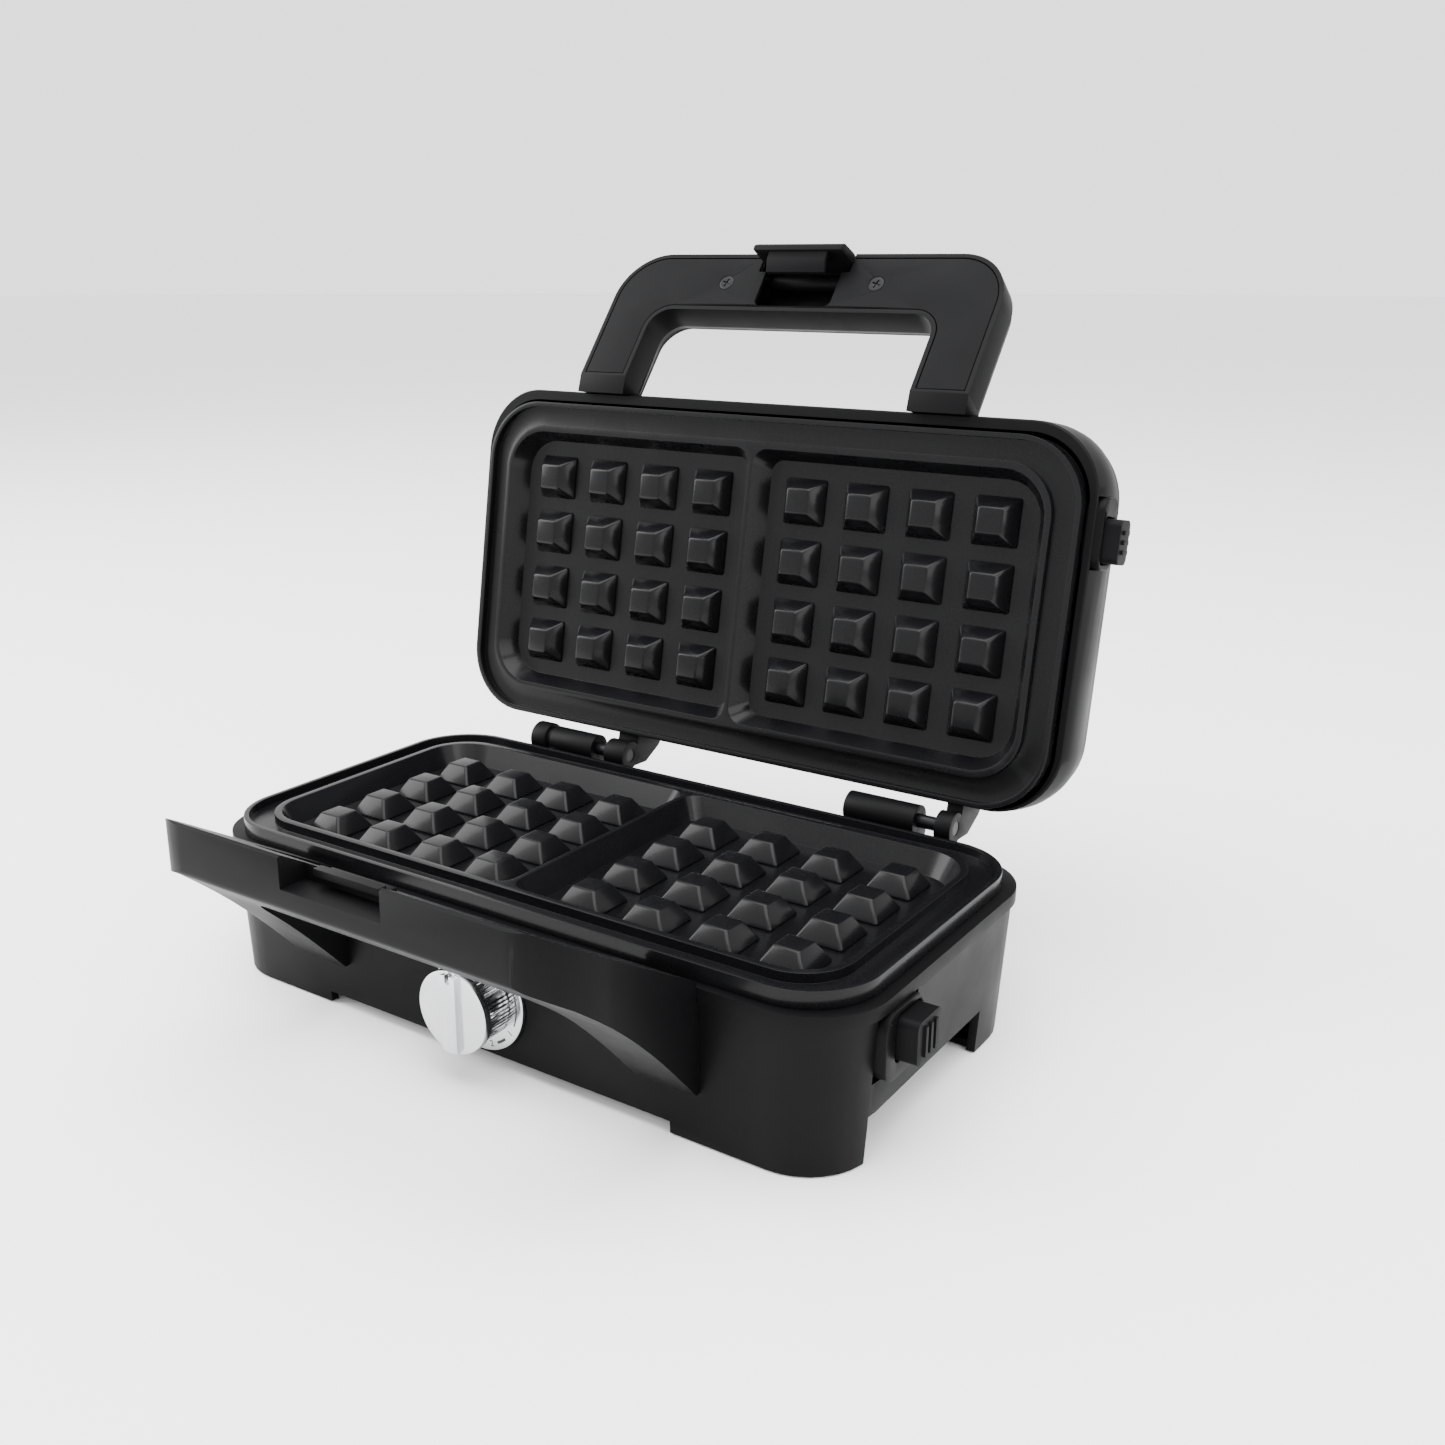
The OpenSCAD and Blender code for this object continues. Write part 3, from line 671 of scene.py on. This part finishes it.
@dataclass
class Dial:
    """The heat dial: satin ring with printed marks, and a knurled knob."""

    dresser: Dresser
    digit_mm: float = 3.0
    ink_mm: float = 0.05
    radius_mm: float = 15.6
    turns: tuple[tuple[str, float], ...] = (("1", -35.0), ("2", -72.0))

    def digit(self, character: str, turn: float) -> None:
        """Prints one number of the scale on the ring.

        Args:
            character: the number.
            turn: its place round the ring, in degrees from the right.
        """
        low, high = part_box("dial_ring")
        middle = ((low[0] + high[0]) / 2, low[1], (low[2] + high[2]) / 2)
        curve = bpy.data.curves.new("scale_number", "FONT")
        curve.body = character
        curve.size, curve.extrude = self.digit_mm * MM, self.ink_mm * MM
        curve.align_x, curve.align_y = "CENTER", "CENTER"
        text = bpy.data.objects.new("scale_number", curve)
        bpy.context.scene.collection.objects.link(text)
        graph = bpy.context.evaluated_depsgraph_get()
        mesh = bpy.data.meshes.new_from_object(text.evaluated_get(graph))
        bpy.data.objects.remove(text)
        side = self.radius_mm * MM * math.cos(math.radians(turn))
        up = self.radius_mm * MM * math.sin(math.radians(turn))
        place = Matrix.Translation(Vector((middle[0] + side, middle[1], middle[2] + up)))
        stand = Matrix.Rotation(math.radians(90), 4, "X")
        spin = Matrix.Rotation(math.radians(turn + 90), 4, "Z")
        mesh.transform(place @ stand @ spin)
        number = mesh_object(f"scale_number_{character}", mesh)
        put_finish(number, PRINT)
        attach(number, "base")
        LOG.info("%s printed on the ring", number.name)

    def build(self) -> None:
        """Dresses the dial."""
        rounded = self.dresser.rounded
        for character, turn in self.turns:
            self.digit(character, turn)
        rounded("heat_ring", ("dial_ring",), SATIN_CHROME)
        rounded("heat_marks", ("dial_ring_marks",), PRINT, INK)
        rounded("knob_skirt", ("knob_body",), SATIN_CHROME, KNURL)
        rounded("knob_front", ("knob_cap",), SATIN_CHROME)
        rounded("knob_spindle", ("knob_shaft",), ZINC, FINE)
        rounded("heat_switch", ("rotary_switch",), SWITCH, FINE)


@dataclass
class ReleaseButtons:
    """The two plate release buttons with their bezels and springs."""

    dresser: Dresser
    edge: Rounding = Rounding(width_mm=0.5, segments=3)
    travel: float = 4 * MM

    def spring(self, half: str) -> None:
        """Copies a button's spring into a piece with its own mesh.

        Args:
            half: base or lid.
        """
        node = f"{half}_button_spring"
        coil = self.dresser.rounded(f"{half}_return_spring", (node,), SPRING, WIRE)
        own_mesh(coil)

    def build(self) -> None:
        """Dresses both buttons."""
        rounded = self.dresser.rounded
        for half in ("base", "lid"):
            rounded(f"{half}_bezel", (f"{half}_button_bezel",), HOUSING, self.edge)
            rounded(f"{half}_push_button", (f"{half}_release_button",), PANEL, self.edge)
            self.spring(half)


@dataclass
class WafflePlates:
    """The two removable grid plates."""

    dresser: Dresser
    edge: Rounding = Rounding(
        width_mm=0.9, segments=3, limit_degrees=24.0, smooth_degrees=50.0
    )

    def build(self) -> None:
        """Dresses both plates."""
        rounded = self.dresser.rounded
        for half in ("lower", "upper"):
            rounded(f"{half}_tray", (f"{half}_plate",), NONSTICK, self.edge)
            rounded(f"{half}_pyramids", (f"{half}_plate_grid",), NONSTICK, self.edge)


@dataclass(frozen=True)
class OpenLid:
    """Where the lid stands at rest: from the closed lid's millimetres to metres when open."""

    angle: float = math.radians(-99.46)
    hinge: tuple[float, float] = (72.7, 58.9)
    shift: tuple[float, float] = (-3.675, -9.92)

    def place(self, point: tuple[float, float, float]) -> Vector:
        """Turns a point of the closed lid to where it is with the lid open.

        Args:
            point: x, y and z in millimetres, lid closed.

        Returns:
            The same point in the row frame, in metres.
        """
        across, up = point[1] - self.hinge[0], point[2] - self.hinge[1]
        cos, sin = math.cos(self.angle), math.sin(self.angle)
        back = self.hinge[0] + across * cos - up * sin
        high = self.hinge[1] + across * sin + up * cos
        return Vector((point[0] + self.shift[0], back + self.shift[1], high)) * MM

    def closed(self, point: Vector) -> tuple[float, float, float]:
        """Undoes place().

        Args:
            point: a point of the open lid, in metres.

        Returns:
            The same point with the lid closed, in millimetres.
        """
        side, back, high = (c / MM for c in point)
        back += -self.shift[1] - self.hinge[0]
        high -= self.hinge[1]
        cos, sin = math.cos(self.angle), math.sin(self.angle)
        return (
            side - self.shift[0],
            self.hinge[0] + back * cos + high * sin,
            self.hinge[1] - back * sin + high * cos,
        )


OPEN_LID = OpenLid()


@dataclass(frozen=True)
class Ring:
    """One rounded-rectangle level of a lofted shell, in millimetres."""

    height: float
    half_width: float
    front: float
    back: float
    corner: float

    def points(self, per_corner: int) -> list[tuple[float, float, float]]:
        """Walks round the level anticlockwise.

        Args:
            per_corner: how many steps each corner takes.

        Returns:
            The level's points.
        """
        corners = (
            (self.half_width, self.back, 0),
            (-self.half_width, self.back, 90),
            (-self.half_width, self.front, 180),
            (self.half_width, self.front, 270),
        )
        walk = []
        for x, y, start in corners:
            middle_x = x - math.copysign(self.corner, x)
            middle_y = y - math.copysign(self.corner, y)
            for step in range(per_corner + 1):
                turn = math.radians(start + 90 * step / per_corner)
                point_x = middle_x + self.corner * math.cos(turn)
                point_y = middle_y + self.corner * math.sin(turn)
                walk.append((point_x, point_y, self.height))
        return walk


@dataclass
class LidUnit:
    """The upper half: shell, inner frame, hinge ears and clips.

    All lengths are millimetres with the lid closed. Each row of sides and of cavity is one level:
    its height over the rim, and how far the sides, the front, the back and the corner radius
    come in from the outline, or go out if negative.
    """

    dresser: Dresser
    per_corner: int = 14
    rim: float = 62.0
    tall: float = 35.0
    outline: tuple[float, float, float, float] = (131.0, -68.0, 65.0, 25.0)
    sides: tuple[tuple[float, float, float, float, float], ...] = (
        (0.0, 0.5, 0.5, 0.5, 0.0),
        (0.5, 0.0, 0.0, 0.0, 0.0),
        (5.0, -1.125, 0.0, 0.0, 0.0),
        (10.0, -1.5, 0.0, 0.0, 0.0),
        (16.0, -0.9, 0.3, 0.2, 0.0),
        (22.0, 0.6, 1.2, 0.5, 0.0),
    )
    cavity: tuple[tuple[float, float, float, float, float], ...] = (
        (32.6, 22.0, 24.0, 22.0, 9.0),
        (26.0, 5.0, 5.0, 6.0, 4.0),
        (10.0, 0.9, 2.4, 3.0, 2.0),
        (2.5, 2.6, 3.8, 0.65, 2.0),
        (0.0, 2.6, 3.8, 0.65, 2.0),
    )
    shoulder_from: float = 22.0
    shoulder_start: float = 0.6
    shoulder_inset: float = 13.3
    shoulder_steps: int = 8
    corner_shrink: float = 0.45
    smooth_degrees: float = 35.0
    window: tuple[tuple[float, float], ...] = ((120.0, 140.0), (-45.05, -20.95), (62.55, 76.55))

    def levels(self, rows: tuple[tuple[float, float, float, float, float], ...]) -> list[Ring]:
        """Turns a table of levels into rings.

        Args:
            rows: the table, in the order that the class gives.

        Returns:
            One ring for each row.
        """
        half, front, back, corner = self.outline
        return [
            Ring(self.rim + height, half - side, front + fore, back - rear, corner - shrink)
            for height, side, fore, rear, shrink in rows
        ]

    def shoulder(self) -> list[Ring]:
        """Gives the levels of the rounded shoulder.

        Returns:
            The levels from the sides up to the flat top.
        """
        half, front, back, corner = self.outline
        start, low = self.shoulder_start, self.shoulder_from
        rings = []
        for i in range(1, self.shoulder_steps + 1):
            turn = math.radians(90 * i / self.shoulder_steps)
            inset = start + self.shoulder_inset * (1 - math.cos(turn))
            rings.append(
                Ring(
                    self.rim + low + (self.tall - low) * math.sin(turn),
                    half - inset,
                    front + start + inset,
                    back - inset,
                    corner - self.corner_shrink * inset,
                )
            )
        return rings

    def dome(self) -> bpy.types.Object:
        """Lofts the lid's shell as one closed, smooth skin and cuts the button's window.

        Returns:
            The shell, with the lid open as it is at rest.
        """
        outside = self.levels(self.sides) + self.shoulder()
        work = bmesh.new()
        levels = [
            [work.verts.new(OPEN_LID.place(p)) for p in ring.points(self.per_corner)]
            for ring in outside + self.levels(self.cavity)
        ]
        turns = len(outside)
        levels = levels[:turns][::-1] + levels[turns:][::-1]
        count = len(levels[0])
        for lower, upper in zip(levels, levels[1:]):
            for i in range(count):
                j = (i + 1) % count
                work.faces.new((lower[i], lower[j], upper[j], upper[i]))
        work.faces.new(levels[0])
        work.faces.new(levels[-1])
        bmesh.ops.recalc_face_normals(work, faces=work.faces)
        mesh = bpy.data.meshes.new("lid_dome")
        work.to_mesh(mesh)
        work.free()
        dome = mesh_object("lid_dome", mesh)
        cut_box(dome, [OPEN_LID.place(p) for p in box_corners(*self.window)])
        smooth_by_angle(dome.data, self.smooth_degrees)
        return dome

    def build(self) -> None:
        """Dresses the lid."""
        rounded = self.dresser.rounded
        self.dresser.claim(self.dome(), ("lid_shell",), HOUSING)
        rounded("lid_frame", ("lid_inner_frame",), HOUSING, FINE)
        rounded("lid_ears", ("lid_hinge_ears",), HOUSING, SOFT)
        rounded("lid_spring_clips", ("lid_plate_clips",), ZINC, FINE)


@dataclass
class LidHandle:
    """The lid's loop handle with its cover, screws and latch.

    Outer and inner give the loop's two outlines in its own plane: half the width, the end and
    the corner radius. Each row of steps is one stepped edge of the back: its height, how far it
    lies inside the outline, and the height that it is moved to. Lengths are in millimetres.
    """

    dresser: Dresser
    edge: Rounding = Rounding(
        width_mm=0.9, segments=3, limit_degrees=12.0, smooth_degrees=50.0
    )
    tilt: float = math.radians(-28.8)
    root: tuple[float, float] = (-75.0, 58.66)
    outer: tuple[float, float, float] = (83.0, -57.5, 20.5)
    inner: tuple[float, float, float] = (61.0, -31.6, 9.0)
    steps: tuple[tuple[float, float, float], ...] = (
        (13.0, 0.0, 11.2),
        (13.0, 1.2, 14.0),
        (15.45, 1.2, 14.5),
        (15.45, 3.0, 16.2),
    )
    height_slack: float = 0.12
    inset_slack: float = 0.25

    def inset(self, x: float, y: float) -> float:
        """Measures how far a point lies inside the loop's outline.

        Args:
            x: the point's place across the loop.
            y: its place along the loop.

        Returns:
            Its distance from the nearer outline, negative outside.
        """
        distances = []
        for half, end, corner in (self.outer, self.inner):
            over_x, over_y = abs(x) - (half - corner), (end + corner) - y
            if over_x > 0 and over_y > 0:
                distances.append(math.hypot(over_x, over_y) - corner)
            else:
                distances.append(max(over_x, over_y) - corner)
        return min(-distances[0], distances[1])

    def crown(self, point: Vector) -> Vector:
        """Moves the loop's stepped back edges closer to one rounded curve.

        Args:
            point: a point of the open handle, in metres.

        Returns:
            The point, moved if it lies on a stepped edge.
        """
        x, y, z = OPEN_LID.closed(point)
        across, up = y - self.root[0], z - self.root[1]
        cos, sin = math.cos(self.tilt), math.sin(self.tilt)
        along, height = across * cos + up * sin, -across * sin + up * cos
        inset = self.inset(x, along)
        for level, depth, target in self.steps:
            at_level = abs(height - level) < self.height_slack
            if at_level and abs(inset - depth) < self.inset_slack:
                height = target
                break
        y = self.root[0] + along * cos - height * sin
        z = self.root[1] + along * sin + height * cos
        return OPEN_LID.place((x, y, z))

    def build(self) -> None:
        """Dresses the handle and its latch."""
        rounded = self.dresser.rounded
        rounded("handle_body", ("handle_shell",), HOUSING, self.edge, self.crown)
        rounded("handle_cover", ("handle_panel",), PANEL)
        rounded("handle_screw_heads", ("handle_screws",), BLACK_STEEL, FINE)
        rounded("latch_lever", ("latch_hook",), PANEL, SOFT)
        rounded("latch_axle", ("latch_pin",), BLACK_STEEL, FINE)
        self.dresser.shade("latch_spring", SPRING)


@dataclass
class Hinge:
    """Brackets, end caps and pins at the back."""

    dresser: Dresser

    def build(self) -> None:
        """Dresses the hinge."""
        self.dresser.rounded("hinge_mounts", ("hinge_brackets",), HOUSING, SOFT)
        self.dresser.rounded("hinge_barrel_caps", ("hinge_end_caps",), HOUSING, SOFT)
        self.dresser.shade("hinge_pins", BLACK_STEEL)


@dataclass
class Internals:
    """Heaters, shields, switchgear and wiring inside both halves."""

    dresser: Dresser

    def build(self) -> None:
        """Gives each inside part its own finish."""
        for half in ("lower", "upper"):
            self.dresser.shade(f"{half}_heating_element", SHEATH)
            self.dresser.shade(f"{half}_element_clamps", ZINC)
            self.dresser.shade(f"{half}_heat_shield", SHEET)
        self.dresser.shade("thermostat", CERAMIC)
        self.dresser.shade("thermal_fuse", CERAMIC)
        self.dresser.shade("terminal_block", CERAMIC)
        self.dresser.shade("internal_wires", SILICONE)


@dataclass(frozen=True)
class Softbox:
    """One soft rectangular light: where it hangs and its size in metres, and its watts."""

    name: str
    place: tuple[float, float, float]
    size: tuple[float, float]
    watts: float


@dataclass
class Studio:
    """Pale floor, soft lights and the camera."""

    azimuth: float = 34.5944
    elevation: float = 17.2866
    place_mm: tuple[float, float, float] = (289.105, -387.0, 247.23)
    lens_mm: float = 36.934
    shift: float = 0.0277
    sensor_mm: float = 36.0
    clip: tuple[float, float] = (0.02, 60.0)
    floor_size: float = 12.0
    floor_segments: int = 96
    room_strength: float = 2.1
    aim: tuple[float, float, float] = (0.0, 0.0, 0.08)
    softboxes: tuple[Softbox, ...] = (
        Softbox("overhead_softbox", (0.1, -0.2, 1.5), (1.6, 1.6), 55.0),
        Softbox("left_softbox", (-1.3, -0.6, 0.9), (0.9, 1.3), 42.0),
        Softbox("right_softbox", (1.4, -0.1, 0.7), (0.7, 1.1), 14.0),
    )

    def hang(self, box: Softbox) -> None:
        """Hangs one softbox, aimed at the object.

        Args:
            box: the light to hang.
        """
        data = bpy.data.lights.new(box.name, "AREA")
        data.shape, data.energy = "RECTANGLE", box.watts
        data.size, data.size_y = box.size
        lamp = bpy.data.objects.new(box.name, data)
        bpy.context.scene.collection.objects.link(lamp)
        lamp.location = box.place
        aim = Vector(self.aim) - lamp.location
        lamp.rotation_mode = "QUATERNION"
        lamp.rotation_quaternion = aim.to_track_quat("-Z", "Y")

    def floor(self) -> None:
        """Lays the floor: a wide disc under the feet."""
        work = bmesh.new()
        bmesh.ops.create_circle(
            work, cap_ends=True, segments=self.floor_segments, radius=self.floor_size
        )
        mesh = bpy.data.meshes.new("studio_floor")
        work.to_mesh(mesh)
        work.free()
        floor = mesh_object("studio_floor", mesh)
        put_finish(floor, FLOOR)

    def world(self) -> None:
        """Fills the room with even white light."""
        world = bpy.data.worlds.new("studio_room")
        bpy.context.scene.world = world
        world.use_nodes = True
        background = world.node_tree.nodes["Background"]
        background.inputs["Color"].default_value = (1.0, 1.0, 1.0, 1.0)
        background.inputs["Strength"].default_value = self.room_strength

    def camera(self) -> None:
        """Sets the camera at the viewing angle."""
        data = bpy.data.cameras.new("studio_camera")
        data.sensor_width, data.lens, data.shift_x = self.sensor_mm, self.lens_mm, self.shift
        data.clip_start, data.clip_end = self.clip
        camera = bpy.data.objects.new("studio_camera", data)
        bpy.context.scene.collection.objects.link(camera)
        turn, rise = math.radians(self.azimuth), math.radians(self.elevation)
        level = math.cos(rise)
        back = Vector((math.sin(turn) * level, -math.cos(turn) * level, math.sin(rise)))
        camera.location = Vector(self.place_mm) * MM
        camera.rotation_mode = "QUATERNION"
        camera.rotation_quaternion = (-back).to_track_quat("-Z", "Y")
        bpy.context.scene.camera = camera

    def build(self) -> None:
        """Sets up floor, room, lights and camera."""
        self.camera()
        self.floor()
        self.world()
        for box in self.softboxes:
            self.hang(box)


def main() -> None:
    """Loads the frame, dresses every sub-assembly and sets up the studio."""
    logging.basicConfig(level=logging.INFO, format="%(name)s: %(message)s")
    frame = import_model()
    dresser = Dresser(frame)
    Studio().build()
    lower = (BaseUnit, Dial, ReleaseButtons, WafflePlates)
    upper = (LidUnit, LidHandle, Hinge, Internals)
    for unit in lower + upper:
        unit(dresser).build()


if __name__ == "__main__":
    main()
